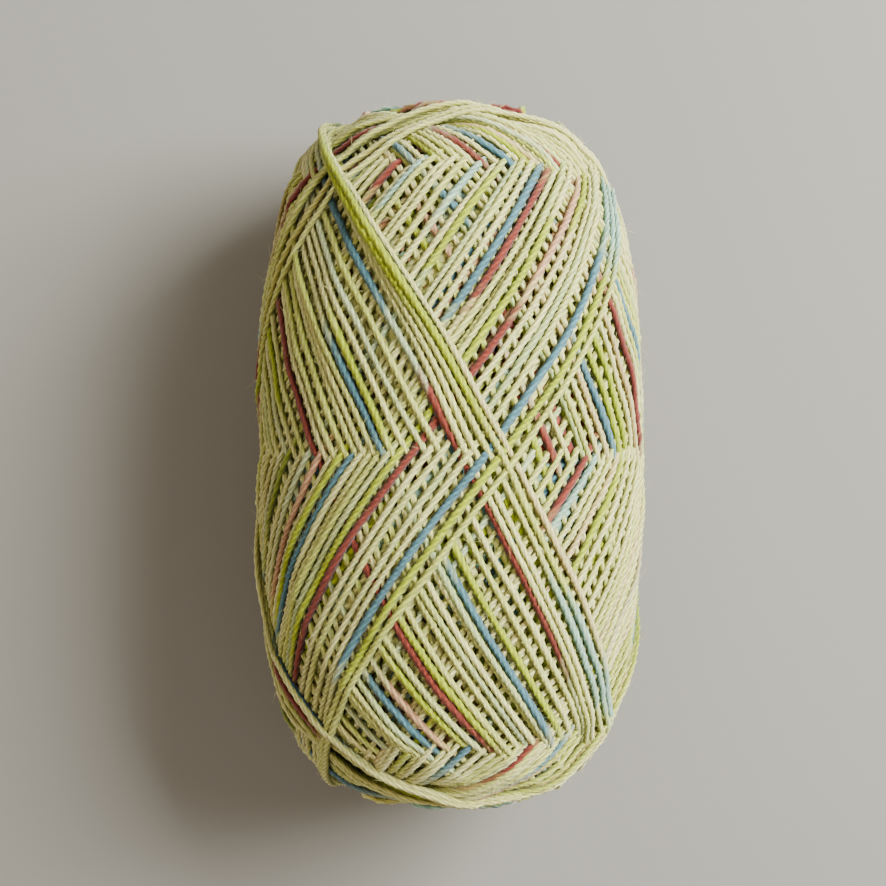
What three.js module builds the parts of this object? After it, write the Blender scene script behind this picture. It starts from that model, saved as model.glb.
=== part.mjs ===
// A skein of fine variegated yarn, machine wound into a long pull skein that lies on its side.
// The yarn crosses the belly at a steady slant, turns round each end beside the axis and comes back,
// so three crossings stand a third of a turn apart and creep round the skein as it fills.
// Units are millimetres. +Y runs along the skein, +Z is up, and the flat spot it lies on is at Z = 0.

import * as THREE from "three";

// Size of the wound form, with the raised bundles.
const LENGTH = 121; // along Y, where the long profile would close without its hollows
const WIDTH = 65; // along X, across the belly
const HEIGHT = 60; // along Z, before the underside is pressed flat
const SQUARENESS = 3; // power of the long profile: 2 is an ellipse, and more is squarer

// The hollow that the turns leave round the axis at each end.
const HOLLOW_MOUTH = 17; // radius where it starts
const HOLLOW_DEPTH = 8;

// The underside, pressed flat by the skein's own weight.
const PRESSED = 1.9; // how far below the flat spot the round form would reach

// The path of the yarn.
const TURNING_RADIUS = 17; // distance from the axis at which the yarn turns at an end
const PASS_SWEEP = 241; // degrees round the axis in one pass from end to end
const PASSES = 6; // passes before the path meets its own start
const LAST_CROSSING = 9; // degrees from straight up to the crossing that was laid last

// The bundles, each the turns laid while the crossings creep on by one step.
const BUNDLES = 5;
const BUNDLE_STEP = 25; // degrees between bundles
const BUNDLE_HALF_WIDTH = 4.9;
const BUNDLE_RISE = 2.2; // height of the last bundle over the form below it
const RISE_STEP = 0.4; // how much lower each earlier bundle lies
const CREST = 0.5; // share of a bundle's half width that is its full height

// Mesh steps.
const AROUND = 84;
const SHOULDER_STEPS = 22; // from the belly to the mouth of a hollow
const HOLLOW_STEPS = 5;
const PATH_STEPS = 90; // along half a pass

const DYE = 0xd9d79f; // the mean of the yarn's cream, lime, blue and rust lengths
const WOOL_ROUGHNESS = 0.95;

const half = { x: WIDTH / 2 - BUNDLE_RISE, z: HEIGHT / 2 - BUNDLE_RISE };
const bodyRadius = half.x;
const bodyEnd = LENGTH / 2;

// Smooth rise from 0 to 1 as w goes from 0 to 1.
function ease(w) {
  const k = THREE.MathUtils.clamp(w, 0, 1);
  return k * k * (3 - 2 * k);
}

// The long profile at an angle from the belly: distance along the axis and radius.
function shoulder(angle) {
  const [across, along] = [Math.cos(angle), Math.sin(angle)];
  const reach = (across ** SQUARENESS + along ** SQUARENESS) ** (-1 / SQUARENESS);
  const radius = bodyRadius * reach * across;
  const hollow = HOLLOW_DEPTH * ease(1 - radius / HOLLOW_MOUTH);
  return { radius, along: bodyEnd * reach * along - hollow };
}

// The angle at which the profile has the given radius.
function angleAt(radius) {
  const share = radius / bodyRadius;
  return Math.atan2((1 - share ** SQUARENESS) ** (1 / SQUARENESS), share);
}

// Half of the long profile, from the belly over the shoulder into the hollow, down to the axis.
function halfProfile() {
  const mouth = angleAt(HOLLOW_MOUTH);
  const rows = [];
  for (let i = 0; i <= SHOULDER_STEPS; i += 1) {
    rows.push(shoulder((mouth * i) / SHOULDER_STEPS));
  }
  for (let i = 1; i <= HOLLOW_STEPS; i += 1) {
    rows.push(shoulder(angleAt(HOLLOW_MOUTH * (1 - i / HOLLOW_STEPS))));
  }
  return rows;
}

// The stations of a pass from the belly to its turning point. On a round form a taut yarn keeps
// radius times the sine of its slant constant, which gives the sweep round the axis at each station.
function quarterPass() {
  const end = angleAt(TURNING_RADIUS);
  const stations = [];
  let sweep = 0;
  let before = shoulder(0);
  for (let i = 1; i <= PATH_STEPS; i += 1) {
    const here = shoulder(end * Math.sin((Math.PI / 2) * (i / PATH_STEPS)));
    const middle = shoulder(end * Math.sin((Math.PI / 2) * ((i - 0.5) / PATH_STEPS)));
    const run = Math.hypot(here.along - before.along, here.radius - before.radius);
    const slack = Math.sqrt(middle.radius ** 2 - TURNING_RADIUS ** 2);
    sweep += (TURNING_RADIUS * run) / (middle.radius * slack);
    stations.push({ ...here, sweep });
    before = here;
  }
  const scale = THREE.MathUtils.degToRad(PASS_SWEEP) / 2 / sweep;
  return stations.map((s) => ({ ...s, sweep: s.sweep * scale }));
}

// The point of the form at a distance along the axis, a radius and an angle from straight up.
function onForm(along, radius, angle) {
  const reach = radius / bodyRadius;
  return new THREE.Vector3(
    half.x * reach * Math.sin(angle),
    along,
    half.z * reach * Math.cos(angle),
  );
}

// Points along all the passes of a bundle whose crossing stands at the given angle.
function bundlePath(crossing) {
  const stations = quarterPass();
  const points = [];
  for (let pass = 0; pass < PASSES; pass += 1) {
    const middle = THREE.MathUtils.degToRad(crossing + pass * PASS_SWEEP);
    const way = pass % 2 === 0 ? 1 : -1;
    for (const s of stations) {
      points.push(onForm(way * s.along, s.radius, middle + s.sweep));
      points.push(onForm(-way * s.along, s.radius, middle - s.sweep));
    }
  }
  return points;
}

const bundles = Array.from({ length: BUNDLES }, (_, i) => ({
  path: bundlePath(LAST_CROSSING - i * BUNDLE_STEP),
  rise: BUNDLE_RISE - i * RISE_STEP,
}));

// How far the bundles stand over the form at a point: the highest one that passes there.
function raisedAt(point) {
  let height = 0;
  for (const { path, rise } of bundles) {
    const nearest = Math.sqrt(Math.min(...path.map((p) => p.distanceToSquared(point))));
    const edge = (1 - nearest / BUNDLE_HALF_WIDTH) / (1 - CREST);
    height = Math.max(height, rise * ease(edge));
  }
  return height;
}

// A ring of points round the axis for each row of the profile, raised along the profile's normal.
function skeinGeometry() {
  const oneHalf = halfProfile();
  const otherHalf = oneHalf.slice(1).map(({ radius, along }) => ({ radius, along: -along }));
  const rows = [...oneHalf.slice().reverse(), ...otherHalf];
  const floor = -half.z - BUNDLE_RISE + PRESSED;

  const positions = [];
  const place = (p) => positions.push(p.x, p.y, Math.max(p.z, floor) - floor);
  place(onForm(rows[0].along, 0, 0));
  for (let r = 1; r < rows.length - 1; r += 1) {
    const { along, radius } = rows[r];
    const normal = new THREE.Vector2(
      rows[r - 1].along - rows[r + 1].along,
      rows[r + 1].radius - rows[r - 1].radius,
    ).normalize();
    for (let a = 0; a < AROUND; a += 1) {
      const angle = (2 * Math.PI * a) / AROUND;
      const foot = onForm(along, radius, angle);
      const outward = new THREE.Vector3(Math.sin(angle), 0, Math.cos(angle))
        .multiplyScalar(normal.x)
        .setY(normal.y);
      place(foot.addScaledVector(outward, raisedAt(foot)));
    }
  }
  place(onForm(rows[rows.length - 1].along, 0, 0));

  const faces = [];
  const rings = rows.length - 2;
  const last = rings * AROUND + 1;
  const at = (ring, a) => 1 + ring * AROUND + (a % AROUND);
  for (let a = 0; a < AROUND; a += 1) {
    faces.push(0, at(0, a), at(0, a + 1));
    faces.push(last, at(rings - 1, a + 1), at(rings - 1, a));
    for (let ring = 0; ring < rings - 1; ring += 1) {
      faces.push(at(ring, a), at(ring + 1, a), at(ring, a + 1));
      faces.push(at(ring, a + 1), at(ring + 1, a), at(ring + 1, a + 1));
    }
  }

  const geometry = new THREE.BufferGeometry();
  geometry.setAttribute("position", new THREE.Float32BufferAttribute(positions, 3));
  geometry.setIndex(faces);
  geometry.computeVertexNormals();
  return geometry;
}

const wool = new THREE.MeshStandardMaterial({
  color: DYE,
  roughness: WOOL_ROUGHNESS,
  metalness: 0,
});

const woundSkein = new THREE.Mesh(skeinGeometry(), wool);
woundSkein.name = "wound_skein";

const skein = new THREE.Group();
skein.name = "wool_skein";
skein.add(woundSkein);

export default skein;
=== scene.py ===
"""A skein of fine variegated wool yarn, machine wound into a long pull skein and lying on its side.

The yarn is laid here pass by pass, as the winding machine lays it. Each pass crosses the belly on a
steady slant, turns round an end beside the axis and comes back, and it rests on what was laid before.
Sizes are in millimetres up to the moment a mesh is made, and in metres from there on.
"""

import itertools
import logging
import math
from dataclasses import dataclass, field
from enum import Enum

import bpy
import numpy as np
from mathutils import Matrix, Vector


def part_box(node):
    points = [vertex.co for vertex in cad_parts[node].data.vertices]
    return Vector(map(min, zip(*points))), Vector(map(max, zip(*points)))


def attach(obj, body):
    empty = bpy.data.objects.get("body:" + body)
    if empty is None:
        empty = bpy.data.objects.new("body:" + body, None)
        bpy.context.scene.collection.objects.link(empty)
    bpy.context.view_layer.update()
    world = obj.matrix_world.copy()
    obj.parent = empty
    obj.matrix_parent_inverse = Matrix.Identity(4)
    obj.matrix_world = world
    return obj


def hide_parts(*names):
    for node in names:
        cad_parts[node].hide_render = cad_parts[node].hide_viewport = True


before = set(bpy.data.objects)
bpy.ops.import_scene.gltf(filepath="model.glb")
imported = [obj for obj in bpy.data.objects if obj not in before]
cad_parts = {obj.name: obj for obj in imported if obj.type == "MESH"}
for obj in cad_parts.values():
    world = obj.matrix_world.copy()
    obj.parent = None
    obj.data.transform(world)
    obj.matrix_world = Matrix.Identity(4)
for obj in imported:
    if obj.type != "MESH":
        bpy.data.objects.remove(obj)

LOG = logging.getLogger("skein")
MM = 0.001
NODE = "wound_skein"

# How far the table presses the underside up, and how far the solid's end stands inside the full profile.
PRESSED = 1.9
RIM_DROP = 1.15

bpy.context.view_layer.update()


def linear(hex_colour: str) -> tuple[float, float, float, float]:
    """Turn an sRGB hex colour into linear light.

    Args:
        hex_colour: six hex digits after a hash.

    Returns:
        Red, green, blue and an alpha of 1.
    """
    parts = [int(hex_colour[i : i + 2], 16) / 255 for i in (1, 3, 5)]
    light = [c / 12.92 if c <= 0.04045 else ((c + 0.055) / 1.055) ** 2.4 for c in parts]
    return (light[0], light[1], light[2], 1.0)


def ease(share: np.ndarray) -> np.ndarray:
    """Smooth rise from 0 to 1: three times the square less twice the cube of the share."""
    k = np.clip(share, 0.0, 1.0)
    return k * k * (3.0 - 2.0 * k)


def unit(vectors: np.ndarray) -> np.ndarray:
    """Return vectors brought to a length of one."""
    return vectors / np.linalg.norm(vectors, axis=-1, keepdims=True)


def ripple(length: np.ndarray, waves: tuple[tuple[float, float], ...]) -> np.ndarray:
    """Add up slow waves along the yarn, each its size times the sine of the length over its pitch."""
    return sum(size * np.sin(length / pitch) for size, pitch in waves)


class Dye(Enum):
    """The colours that the yarn is dyed in, as seen on the wool."""

    CREAM = "#FFFCB2"
    LIME = "#CFDC28"
    BLUE = "#6E9EAC"
    RUST = "#A44C3C"
    ROSE = "#EDBE96"
    AQUA = "#BDE0CC"
    GREEN = "#A9B636"

    @property
    def light(self) -> np.ndarray:
        """Return the dye's red, green and blue in linear light."""
        return np.array(linear(self.value)[:3])


@dataclass(frozen=True)
class WoundForm:
    """The form of the skein: a squarish ellipse carried round the long axis, hollow at both ends.

    Args:
        half_length: where the long profile would reach the axis without its hollow.
        radius_x: radius of the belly across the skein.
        radius_z: radius of the belly up and down.
        squareness: power of the long profile, 2 for an ellipse.
        hollow_mouth: radius at which the hollow in an end starts.
        hollow_depth: how deep that hollow is on the axis.
    """

    half_length: float
    radius_x: float
    radius_z: float
    squareness: float = 3.0
    hollow_mouth: float = 17.0
    hollow_depth: float = 8.0

    def station(self, angle: np.ndarray) -> tuple[np.ndarray, np.ndarray]:
        """Give the long profile at angles from the belly.

        Both coordinates follow the cosine and sine of the angle, over the root that makes the sum
        of their powers one. The hollow is then taken off along the axis by a smooth step.

        Args:
            angle: from minus a quarter turn at one end to a quarter turn at the other.

        Returns:
            Distance along the axis, and radius.
        """
        across = np.cos(angle)
        along = np.sin(angle)
        power = self.squareness
        reach = (np.abs(across) ** power + np.abs(along) ** power) ** (-1.0 / power)
        radius = self.radius_x * reach * across
        hollow = self.hollow_depth * ease(1.0 - radius / self.hollow_mouth)
        return self.half_length * reach * along - np.sign(along) * hollow, radius

    def angle_at(self, radius: float) -> float:
        """Find where the profile has a radius, by working its formula backwards.

        Args:
            radius: distance from the axis.

        Returns:
            The angle from the belly.
        """
        share = radius / self.radius_x
        power = self.squareness
        return math.atan2((1.0 - share**power) ** (1.0 / power), share)


class ProfileTable:
    """The long profile of a form, tabled over its angle, with what the winding needs at each row.

    The meridian speed is millimetres of profile for each radian of angle, the outward normal is the
    profile's tangent turned by a quarter, and the bend is how fast that normal turns with length.
    """

    ROWS = 1400
    LEAST_SPEED = 1.0

    def __init__(self, form: WoundForm) -> None:
        """Table the profile.

        Args:
            form: the form whose profile it is.
        """
        self.form = form
        self.angle = np.linspace(-math.pi / 2, math.pi / 2, self.ROWS)
        self.along, self.radius = form.station(self.angle)
        run_along = np.gradient(self.along, self.angle)
        run_radius = np.gradient(self.radius, self.angle)
        self.speed = np.maximum(np.hypot(run_along, run_radius), self.LEAST_SPEED)
        self.normal_out = run_along / self.speed
        self.normal_along = -run_radius / self.speed
        lean = np.unwrap(np.arctan2(self.normal_along, self.normal_out))
        self.bend = np.gradient(lean, self.angle) / self.speed

    def read(self, column: np.ndarray, angle: np.ndarray) -> np.ndarray:
        """Return a tabled column at the given angles, interpolated."""
        return np.interp(angle, self.angle, column)

    def point(self, angle: np.ndarray, azimuth: np.ndarray, lift: np.ndarray) -> np.ndarray:
        """Give points over the form: the profile turned round the axis, lifted along its normal.

        Args:
            angle: profile angle of each point.
            azimuth: angle round the axis from straight up, in radians.
            lift: height over the form.

        Returns:
            An array of x, y and z rows, with the axis at z 0.
        """
        radius = self.read(self.radius, angle)
        out = self.read(self.normal_out, angle) * lift
        flat = self.form.radius_z / self.form.radius_x
        return np.stack(
            [
                (radius + out) * np.sin(azimuth),
                self.read(self.along, angle) + self.read(self.normal_along, angle) * lift,
                (radius * flat + out) * np.cos(azimuth),
            ],
            axis=1,
        )

    def normal(self, angle: np.ndarray, azimuth: np.ndarray) -> np.ndarray:
        """Give the outward normals: the profile's normal turned round the axis.

        Args:
            angle: profile angle of each point.
            azimuth: angle round the axis from straight up, in radians.

        Returns:
            An array of x, y and z rows of length one.
        """
        out = self.read(self.normal_out, angle)
        along = self.read(self.normal_along, angle)
        return np.stack([out * np.sin(azimuth), along, out * np.cos(azimuth)], axis=1)


@dataclass
class Leg:
    """Half a pass, from the belly to the place where the yarn turns, at even steps of length.

    Args:
        angle: profile angle at each station.
        sweep: azimuth gone through since the belly.
        slant: angle between the yarn and the profile.
        bend: how sharply the form curves along the yarn, as one over a radius.
    """

    angle: np.ndarray
    sweep: np.ndarray
    slant: np.ndarray
    bend: np.ndarray


@dataclass
class Pass:
    """One pass from end to end: its path on the form, its place in the yarn, and how high it lies.

    Args:
        angle: profile angle at each station.
        azimuth: angle round the axis from straight up.
        slant: angle between the yarn and the profile, signed by the way that the pass runs.
        bend: how sharply the form curves along the yarn, as one over a radius.
        yarn: length of yarn laid up to each station.
        lift: height of the yarn's middle over the outer form, once it is laid.
    """

    angle: np.ndarray
    azimuth: np.ndarray
    slant: np.ndarray
    bend: np.ndarray
    yarn: np.ndarray
    lift: np.ndarray | None = None


@dataclass
class Yarn:
    """The yarn's own sizes.

    Args:
        radius: of a strand that nothing presses on.
        stacked: half the height that a strand takes up between two others.
        plies: strands twisted together.
        lay: length over which a ply goes once round.
    """

    radius: float = 0.55
    stacked: float = 0.38
    plies: int = 4
    lay: float = 7.6


@dataclass
class Winding:
    """How the machine lays the yarn.

    The path on the form is the one a taut yarn takes: radius times the sine of the slant stays the
    same all along a pass, and equals the radius at which the yarn turns round the axis. A pass sweeps
    two thirds of a turn and a little more, so the crossings stand a third of a turn apart and creep.

    Args:
        outer: the form that the finished skein fills.
        yarn: the yarn's sizes.
        step: spacing of the stations along a pass.
        shear: how far the middle of the skein is twisted round its axis, in radians a millimetre.
        seed: start of the random draws.
        turning: turning radius of each layer, from the inside out.
        repeats: repeats in each layer under the charted one.
        give: how far a strand sinks between two rests, for each millimetre of half the span.
        most_give: the most that it sinks.
        taut: how far a strand is pulled straight over its neighbours, from 0 to 1.
        packing: share of the wound body that is yarn.
        stand: how far a strand can stand over the level around it.
        passes: the laid yarn.
    """

    outer: WoundForm
    yarn: Yarn
    step: float = 0.3
    shear: float = 0.0037
    seed: int = 7
    turning: tuple[float, ...] = (2.2, 7.0, 13.0, 20.0, 18.3)
    repeats: tuple[int, ...] = (7, 10, 20, 26)
    give: float = 0.2
    most_give: float = 0.35
    taut: float = 0.5
    packing: float = 0.72
    stand: float = 0.9
    passes: list[Pass] = field(default_factory=list)

    PASSES_A_REPEAT = 6

    # Degrees that a pass sweeps round the axis, and that the crossings creep in an older layer.
    PASS_SWEEP = 240.0
    CYCLE = 120.0

    # The bed's cells along the profile and round the axis.
    ROWS = 620
    COLUMNS = 640

    # Steps that half a pass is worked out in, the fewest stations that it is laid in, and the least
    # that its squared radius may stand over the turning radius squared.
    LEG_STEPS = 240
    FEWEST_STATIONS = 8
    LEAST_ROOM = 1e-6

    # Spread of the spacing of the older passes, as shares of the mean.
    UNEVEN = (0.55, 1.45)

    # Each turn's radius strays by millimetres, as a running mean over this many turns.
    TURN_STRAY = 1.6
    TURN_SPAN = 11

    # Waves that a pass strays sideways in: millimetres, and waves to the pass.
    STRAY = ((0.26, 1.3), (0.18, 2.9), (0.1, 6.3))

    # Lines under a strand that feel the bed, out to this share of its radius, lines that raise it, and
    # the least distance from the axis at which they are spread.
    FEEL = 0.92
    FEEL_LINES = 7
    CROWN_LINES = 9
    LEAST_RADIUS = 4.0

    # Half spans over which a strand is pulled up between two rests, in stations.
    SPANS = (1, 2, 4, 8, 16, 28, 12, 6, 3, 1)

    # Stations to each side in the near and the wide running mean, stations at the ends left off the
    # bed, and the power of the slant's sine by which the wide mean takes over at a turn.
    NEAR = 2
    WIDE = 15
    END_STATIONS = 5
    TURN_POWER = 6

    # One row for each repeat laid last: the degrees round from straight up at which its first and its
    # fourth pass cross the belly, less the sweeps of the passes before. Some of the angles are the
    # rounded output of a separate least-squares fit to strands traced by eye in the photo. The others
    # were worked out from chevron tips as read, and shifted by what that fit showed.
    CHART = (
        (-102.0, -100.0), (-97.5, -95.0), (-93.0, -91.0), (-88.5, -86.0), (-83.5, -80.0),
        (-77.5, -76.5), (-75.5, -73.5), (-71.5, -69.0), (-67.0, -65.5), (-64.0, -62.0),
        (-59.5, -57.0), (-55.0, -52.0), (-49.0, -47.5), (-45.0, -42.0), (-39.5, -38.0),
        (-36.5, -35.0), (-33.0, -31.0), (-29.5, -27.5), (-26.5, -25.0), (-23.5, -22.0),
        (-21.0, -19.5), (-19.0, -16.0), (-16.0, -12.0), (-11.5, -7.0), (-7.0, -2.5),
        (-3.0, 3.0), (1.0, 5.5), (4.5, 8.0), (9.0, 11.0), (14.5, 17.5), (18.5, 14.5),
    )

    def __post_init__(self) -> None:
        """Table the outer form, and start with no yarn on it."""
        self.table = ProfileTable(self.outer)
        self.random = np.random.default_rng(self.seed)
        self.row_angle = np.linspace(-math.pi / 2, math.pi / 2, self.ROWS)
        self.depth = np.zeros(self.ROWS)
        self.bed = np.zeros((self.ROWS, self.COLUMNS))
        self.volume = np.zeros((self.ROWS, self.COLUMNS))
        self.level = np.zeros((self.ROWS, self.COLUMNS))

    def leg(self, turning_radius: float) -> Leg:
        """Work out half a pass on the outer form.

        Stations crowd towards the turn as a sine, which keeps the sweep's integrand smooth there.
        Each adds to the sweep the turning radius times the run of the profile, over the radius and
        the root of radius squared less turning radius squared.

        Args:
            turning_radius: distance from the axis at the turn.

        Returns:
            The half pass at even steps of length.
        """
        steps = self.LEG_STEPS
        crowd = np.sin(np.linspace(0.0, math.pi / 2, steps + 1))
        middle = np.sin((np.arange(steps) + 0.5) / steps * math.pi / 2)
        end = self.outer.angle_at(turning_radius)
        along, radius = self.outer.station(end * crowd)
        _, at_middle = self.outer.station(end * middle)
        run = np.hypot(np.diff(along), np.diff(radius))
        root = np.sqrt(np.maximum(at_middle**2 - turning_radius**2, self.LEAST_ROOM))
        turn = turning_radius * run / (at_middle * root)
        length = np.concatenate([[0.0], np.cumsum(np.hypot(run, turn * at_middle))])
        sweep = np.concatenate([[0.0], np.cumsum(turn)])
        stations = max(self.FEWEST_STATIONS, round(length[-1] / self.step))
        even = np.linspace(0.0, length[-1], stations)
        angle = np.interp(even, length, end * crowd)
        here = self.table.read(self.table.radius, angle)
        slant = np.arcsin(np.clip(turning_radius / here, 0.0, 1.0))
        across = self.table.read(self.table.normal_out, angle) / here
        bend = self.table.read(self.table.bend, angle) * np.cos(slant) ** 2
        return Leg(angle, np.interp(even, length, sweep), slant, bend + across * np.sin(slant) ** 2)

    def crossings(self) -> np.ndarray:
        """Place every pass's crossing of the belly.

        The passes laid last follow the chart, and those under them are spaced at random. Each adds
        the sweep of a pass, and what the chart doesn't give is interpolated.

        Returns:
            The azimuth of each crossing in degrees, oldest first.
        """
        first = self.CHART[0][0]
        older = []
        for count in reversed(self.repeats):
            uneven = self.random.uniform(*self.UNEVEN, count)
            steps = uneven / uneven.sum() * self.CYCLE
            older.append(first - np.cumsum(steps[::-1])[::-1])
            first -= self.CYCLE
        older = np.concatenate(older[::-1])
        upward = np.concatenate([older, [row[0] for row in self.CHART]])
        downward = [row[1] for row in self.CHART]
        between = 0.5 * (older + upward[1 : len(older) + 1])
        known = np.stack([upward, np.concatenate([between, downward])], axis=1).ravel()
        order = np.arange(self.PASSES_A_REPEAT * len(upward) - 2)
        charted = np.arange(len(known)) * (self.PASSES_A_REPEAT // 2)
        return order * self.PASS_SWEEP + np.interp(order, charted, known)

    def turning_radii(self, count: int) -> np.ndarray:
        """Give the radius of every turn: its layer's, and a running mean of random numbers.

        Args:
            count: of the passes.

        Returns:
            The turning radii, oldest first.
        """
        layers = np.repeat(self.turning[:-1], np.array(self.repeats) * self.PASSES_A_REPEAT)
        layers = np.append(layers, np.full(count + 1 - len(layers), self.turning[-1]))
        span = self.TURN_SPAN
        noise = self.random.normal(0.0, 1.0, count + span)
        return layers + np.convolve(noise, np.ones(span) / span, "valid") * self.TURN_STRAY

    def wind(self) -> None:
        """Lay all the yarn, starting as far inside the outer form as the yarn will fill."""
        self.plan()
        for path in self.passes:
            self.pour(path)
        self.depth = self.soften(self.volume).mean(axis=1)
        self.volume[:] = 0.0
        for i, path in enumerate(self.passes):
            if i % self.PASSES_A_REPEAT == 0:
                self.level = self.soften(self.volume)
            path.lift = self.lay(path)
            self.pour(path)

    def stretch(self, first: int, last: int) -> tuple[np.ndarray, ...]:
        """Join laid passes end to end.

        Args:
            first: number of the first pass.
            last: number after the last pass.

        Returns:
            Profile angle, azimuth, lift and length of yarn at every station.
        """
        return tuple(
            np.concatenate([getattr(path, part)[:-1] for path in self.passes[first:last]])
            for part in ("angle", "azimuth", "lift", "yarn")
        )

    def plan(self) -> None:
        """Work out the path of every pass.

        A pass is one leg run backwards and one run forwards, each with its sweep stretched to meet
        its neighbours half way. It strays in slow waves that die out at the turns, and the middle of
        the skein is sheared round the axis, by the length along it less its cube.
        """
        crossings = np.radians(self.crossings())
        radii = self.turning_radii(len(crossings))
        phases = self.random.uniform(0.0, 2 * math.pi, (len(crossings), len(self.STRAY)))
        yarn_length = 0.0
        for i, crossing in enumerate(crossings):
            before = crossings[i - 1] if i else crossing - math.radians(self.PASS_SWEEP)
            after = crossings[i + 1] if i + 1 < len(crossings) else 2 * crossing - before
            way = 1.0 if i % 2 == 0 else -1.0
            come, go = self.leg(radii[i]), self.leg(radii[i + 1])
            angle = way * np.concatenate([-come.angle[:0:-1], go.angle])
            sweep = np.concatenate(
                [
                    -come.sweep[:0:-1] * ((crossing - before) / 2 / come.sweep[-1]),
                    go.sweep * ((after - crossing) / 2 / go.sweep[-1]),
                ]
            )
            slant = way * np.concatenate([come.slant[:0:-1], go.slant])
            bend = np.concatenate([come.bend[:0:-1], go.bend])
            place = np.linspace(0.0, 1.0, len(angle))
            fade = np.sin(math.pi * place)
            stray = sum(
                amount * np.sin(2 * math.pi * waves * place + phase)
                for (amount, waves), phase in zip(self.STRAY, phases[i])
            )
            azimuth = crossing + sweep + fade * stray / self.outer.radius_x
            along = self.table.read(self.table.along, angle)
            azimuth += self.shear * along * (1.0 - (along / self.outer.half_length) ** 2)
            yarn = yarn_length + np.arange(len(angle)) * self.step
            yarn_length = yarn[-1]
            self.passes.append(Pass(angle, azimuth, slant, bend, yarn))
        LOG.info("%d passes, %.1f m of yarn", len(self.passes), yarn_length * MM)

    def pour(self, path: Pass) -> None:
        """Add a pass to the depth of yarn over each cell: its volume, over the cell's area.

        Args:
            path: the pass.
        """
        row, column = self.cell(path.angle, path.azimuth)
        high = self.table.read(self.table.speed, path.angle) * math.pi / (self.ROWS - 1)
        wide = self.table.read(self.table.radius, path.angle) * 2 * math.pi / self.COLUMNS
        fill = math.pi * self.yarn.radius**2 / self.packing
        np.add.at(self.volume, (row, column), fill * self.step / (high * wide))

    def soften(self, grid: np.ndarray, half: int = 6) -> np.ndarray:
        """Average a grid over squares of cells, twice over, closed round the azimuth.

        Args:
            grid: a value for each row and column.
            half: cells on each side of the middle one.

        Returns:
            The averaged grid.
        """
        size = 2 * half + 1
        for _ in range(2):
            grid = np.concatenate([grid[:, -half:], grid, grid[:, :half]], axis=1)
            total = np.cumsum(np.pad(grid, ((0, 0), (1, 0))), axis=1)
            grid = (total[:, size:] - total[:, :-size]) / size
            grid = np.pad(grid, ((half, half), (0, 0)), mode="edge")
            total = np.cumsum(np.pad(grid, ((1, 0), (0, 0))), axis=0)
            grid = (total[size:] - total[:-size]) / size
        return grid

    @staticmethod
    def smooth(values: np.ndarray, half: int) -> np.ndarray:
        """Return the running mean of a row of values, over this many to each side."""
        size = 2 * half + 1
        return np.convolve(np.pad(values, half, mode="edge"), np.ones(size) / size, "valid")

    def lay(self, path: Pass) -> np.ndarray:
        """Rest one pass on the bed, pull it taut, and add it to the bed.

        The strand is a row of discs. It rests where its lowest touching point meets the bed, and
        spans between two rests, with some give: no station may lie further under the chord of its
        neighbours than the form bends and the strand gives. What stands over the level that the
        yarn so far fills is pressed back towards it, by a hyperbolic tangent. A running mean then
        takes out the bumps, most of all at the turns.

        Args:
            path: the pass.

        Returns:
            Height of the strand's middle over the outer form, mostly less than zero.
        """
        rest = self.yarn.stacked
        angle, slant = path.angle, path.slant
        speed = self.table.read(self.table.speed, angle)
        radius = np.maximum(self.table.read(self.table.radius, angle), self.LEAST_RADIUS)
        lift = np.zeros_like(angle)
        for share in np.linspace(-self.FEEL, self.FEEL, self.FEEL_LINES):
            row, column = self.aside(path, share, speed, radius)
            lift = np.maximum(lift, self.bed[row, column] + rest * math.sqrt(1.0 - share**2))
        depth = np.interp(angle, self.row_angle, self.depth)
        lift -= depth
        for half in self.SPANS:
            reach = half * self.step
            chord = 0.5 * (lift[: -2 * half] + lift[2 * half :])
            sag = 0.5 * path.bend[half:-half] * reach**2 + min(self.give * reach, self.most_give)
            lift[half:-half] = np.maximum(lift[half:-half], chord - sag)
        row, column = self.cell(angle, path.azimuth)
        filled = self.level[row, column] + rest - depth
        over = np.maximum(lift - filled, 0.0)
        lift = np.minimum(lift, filled) + self.stand * np.tanh(over / self.stand)
        near = self.smooth(lift, self.NEAR)
        wide = self.smooth(near, self.WIDE)
        pull = self.taut + (1.0 - self.taut) * np.sin(slant) ** self.TURN_POWER
        soft = near + (wide - near) * pull
        kept = slice(self.END_STATIONS, -self.END_STATIONS)
        for share in np.linspace(-1.0, 1.0, self.CROWN_LINES):
            row, column = self.aside(path, share, speed, radius)
            crown = soft + depth + rest * math.sqrt(max(1.0 - share**2, 0.0))
            np.maximum.at(self.bed, (row[kept], column[kept]), crown[kept])
        return soft

    def aside(
        self, path: Pass, share: float, speed: np.ndarray, radius: np.ndarray
    ) -> tuple[np.ndarray, np.ndarray]:
        """Find the cells under a line that runs beside a pass.

        Args:
            path: the pass.
            share: how far away the line runs, as a share of the strand's radius.
            speed: meridian speed at each station.
            radius: distance from the axis at each station.

        Returns:
            The row and the column at each station.
        """
        off = share * self.yarn.radius
        return self.cell(
            path.angle - off * np.sin(path.slant) / speed,
            path.azimuth + off * np.cos(path.slant) / radius,
        )

    def cell(self, angle: np.ndarray, azimuth: np.ndarray) -> tuple[np.ndarray, np.ndarray]:
        """Find the cells of the bed under points of the form.

        Args:
            angle: profile angle of each point.
            azimuth: angle round the axis from straight up, in radians.

        Returns:
            The row and the column of each point.
        """
        row = ((angle / math.pi + 0.5) * (self.ROWS - 1) + 0.5).astype(int)
        column = (azimuth / (2 * math.pi) * self.COLUMNS).astype(int) % self.COLUMNS
        return np.clip(row, 0, self.ROWS - 1), column


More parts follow.
